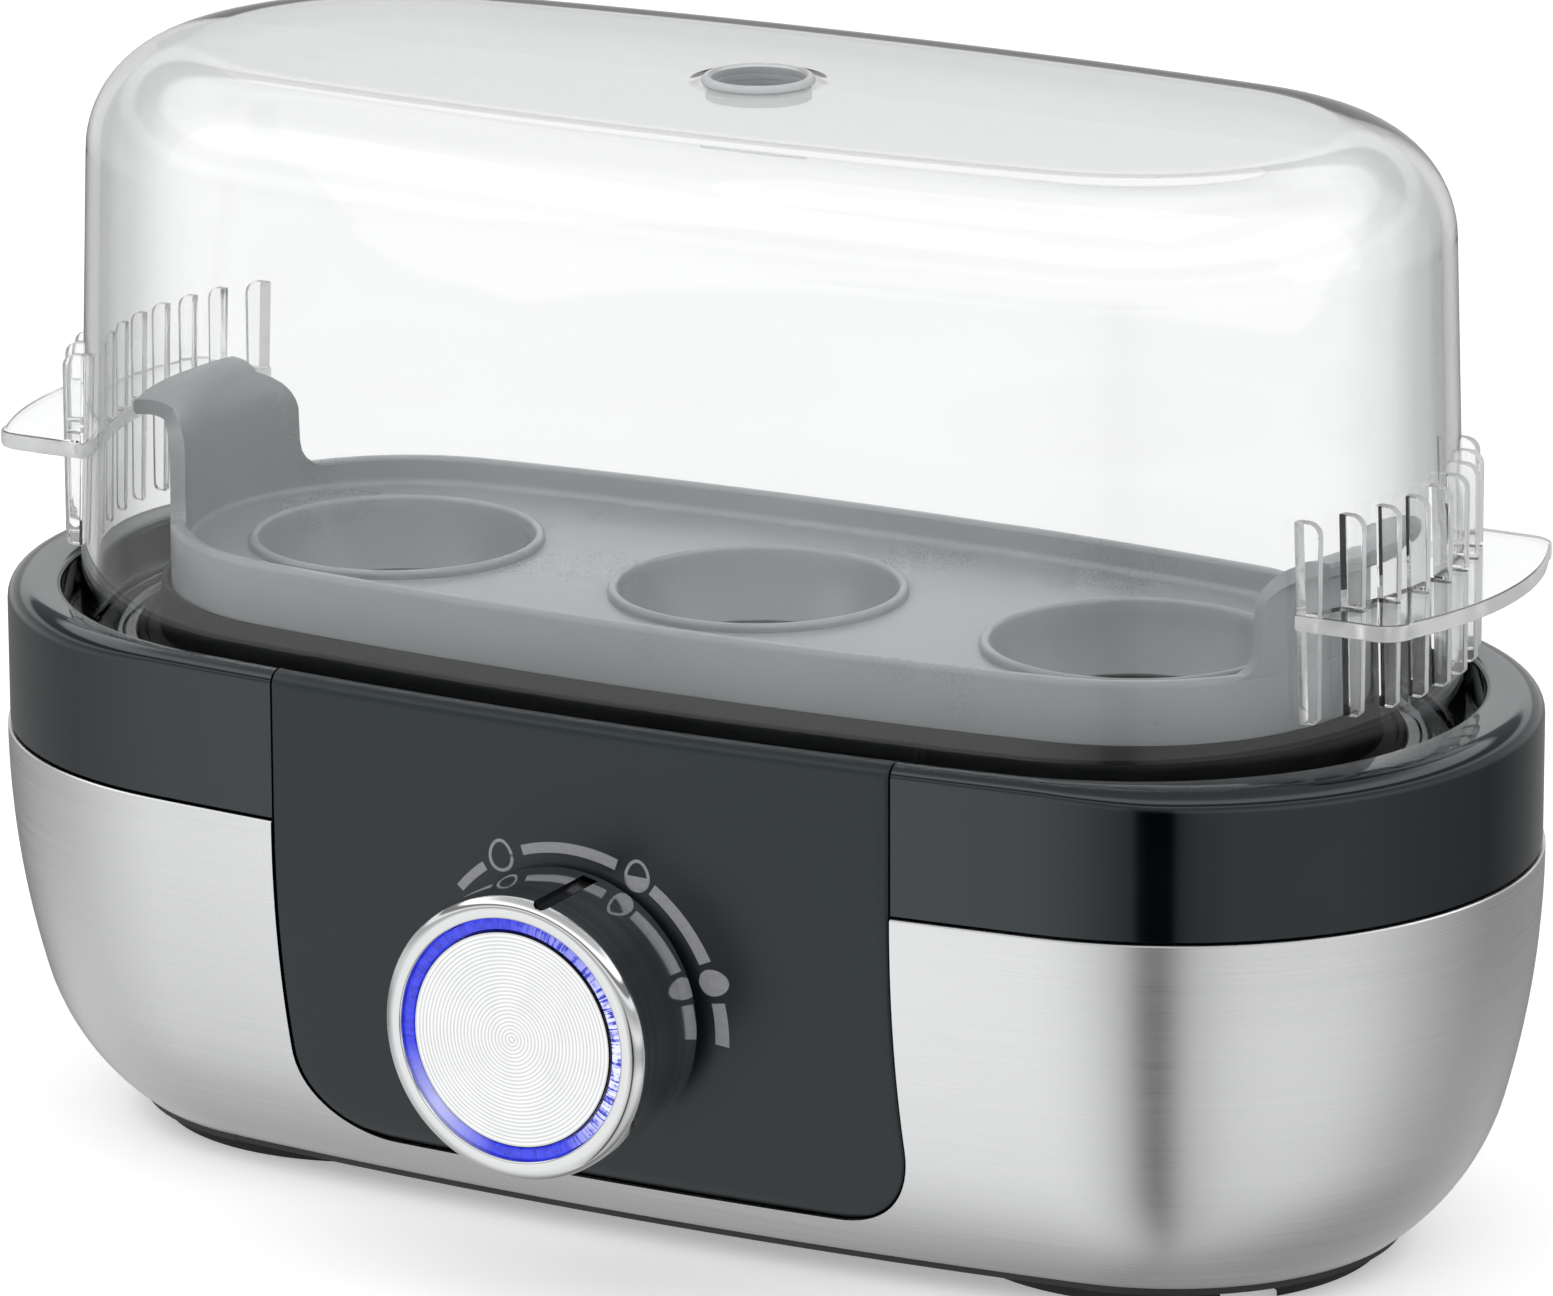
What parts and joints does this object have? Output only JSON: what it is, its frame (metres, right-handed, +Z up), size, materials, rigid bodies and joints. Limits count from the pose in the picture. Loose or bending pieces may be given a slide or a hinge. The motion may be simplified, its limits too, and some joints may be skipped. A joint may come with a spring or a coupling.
{
  "type": "egg cooker",
  "caption": "Oval electric egg cooker: steel tub with black collar, lit turning knob on a front panel, heated water bowl, lift-out egg tray and clear lid with finned grip tabs.",
  "frame": {"origin": "middle of the overall box at the ground under the feet", "axes": "+X along the length, -Y towards the control knob, +Z up"},
  "size_m": [0.1932, 0.1053, 0.1322],
  "materials": {
    "black_base": "moulded black polypropylene, fine matte texture",
    "foot_rubber": "black silicone rubber",
    "zinc_steel": "zinc-plated steel",
    "tub_steel": "stainless steel with a horizontal brushed grain",
    "gloss_black": "glossy black polypropylene",
    "panel_black": "satin black plastic with grey printed egg marks",
    "bowl_coat": "dark non-stick coated aluminium",
    "seal_silicone": "red-brown silicone",
    "brass": "turned brass",
    "heater_sheath": "aluminium heater sheath",
    "dark_phenolic": "dark phenolic",
    "fuse_sleeve": "woven glass sleeve",
    "board_green": "green solder mask",
    "switch_blue": "dark blue moulded housing",
    "clear_guide": "clear acrylic",
    "led_body": "clear epoxy",
    "relay_blue": "blue moulded case",
    "cap_sleeve": "black sleeve",
    "block_white": "white polyamide",
    "lead_red": "red silicone wire",
    "core_white": "white translucent moulding",
    "knob_chrome": "mirror chrome",
    "ring_blue": "lit blue diffuser",
    "disc_aluminium": "spun aluminium with fine concentric turning marks",
    "inlay_black": "gloss black inlay",
    "tray_grey": "satin dark grey heat-proof plastic",
    "lid_clear": "clear plastic"
  },
  "bodies": {
    "base": {"bottom_plate": "black_base", "feet": "foot_rubber", "base_screws": "zinc_steel", "steel_shell": "tub_steel", "collar": "gloss_black", "front_panel": "panel_black", "bowl": "bowl_coat", "bowl_seal": "seal_silicone", "bowl_screws": "zinc_steel", "standoffs": "brass", "heater_tube": "heater_sheath", "heater_tags": "brass", "thermostat": "dark_phenolic", "thermostat_bracket": "zinc_steel", "thermal_fuse": "fuse_sleeve", "control_board": "board_green", "board_screws": "zinc_steel", "rotary_switch": "switch_blue", "switch_nut": "zinc_steel", "light_guide": "clear_guide", "board_leds": "led_body", "buzzer": "dark_phenolic", "relay": "relay_blue", "capacitor": "cap_sleeve", "terminal_block": "block_white", "terminal_screws": "brass", "heater_leads": "lead_red", "cord_inlet": "black_base"},
    "knob": {"switch_shaft": "zinc_steel", "knob_core": "core_white", "knob_sleeve": "knob_chrome", "light_ring": "ring_blue", "knob_disc": "disc_aluminium", "pointer_inlay": "inlay_black"},
    "tray": {"egg_tray": "tray_grey"},
    "lid": {"lid": "lid_clear"}
  },
  "joints": [
    {"name": "knob_turn", "type": "hinge", "parent": "base", "child": "knob", "pos_m": [0, -0.045, 0.0324], "axis": [0, 1, 0], "range_deg": [-65, 85]},
    {"name": "tray_lift", "type": "slide", "parent": "base", "child": "tray", "axis": [0, 0, 1], "range_m": [0, 0.06]},
    {"name": "lid_lift", "type": "slide", "parent": "tray", "child": "lid", "axis": [0, 0, 1], "range_m": [0, 0.12]}
  ]
}
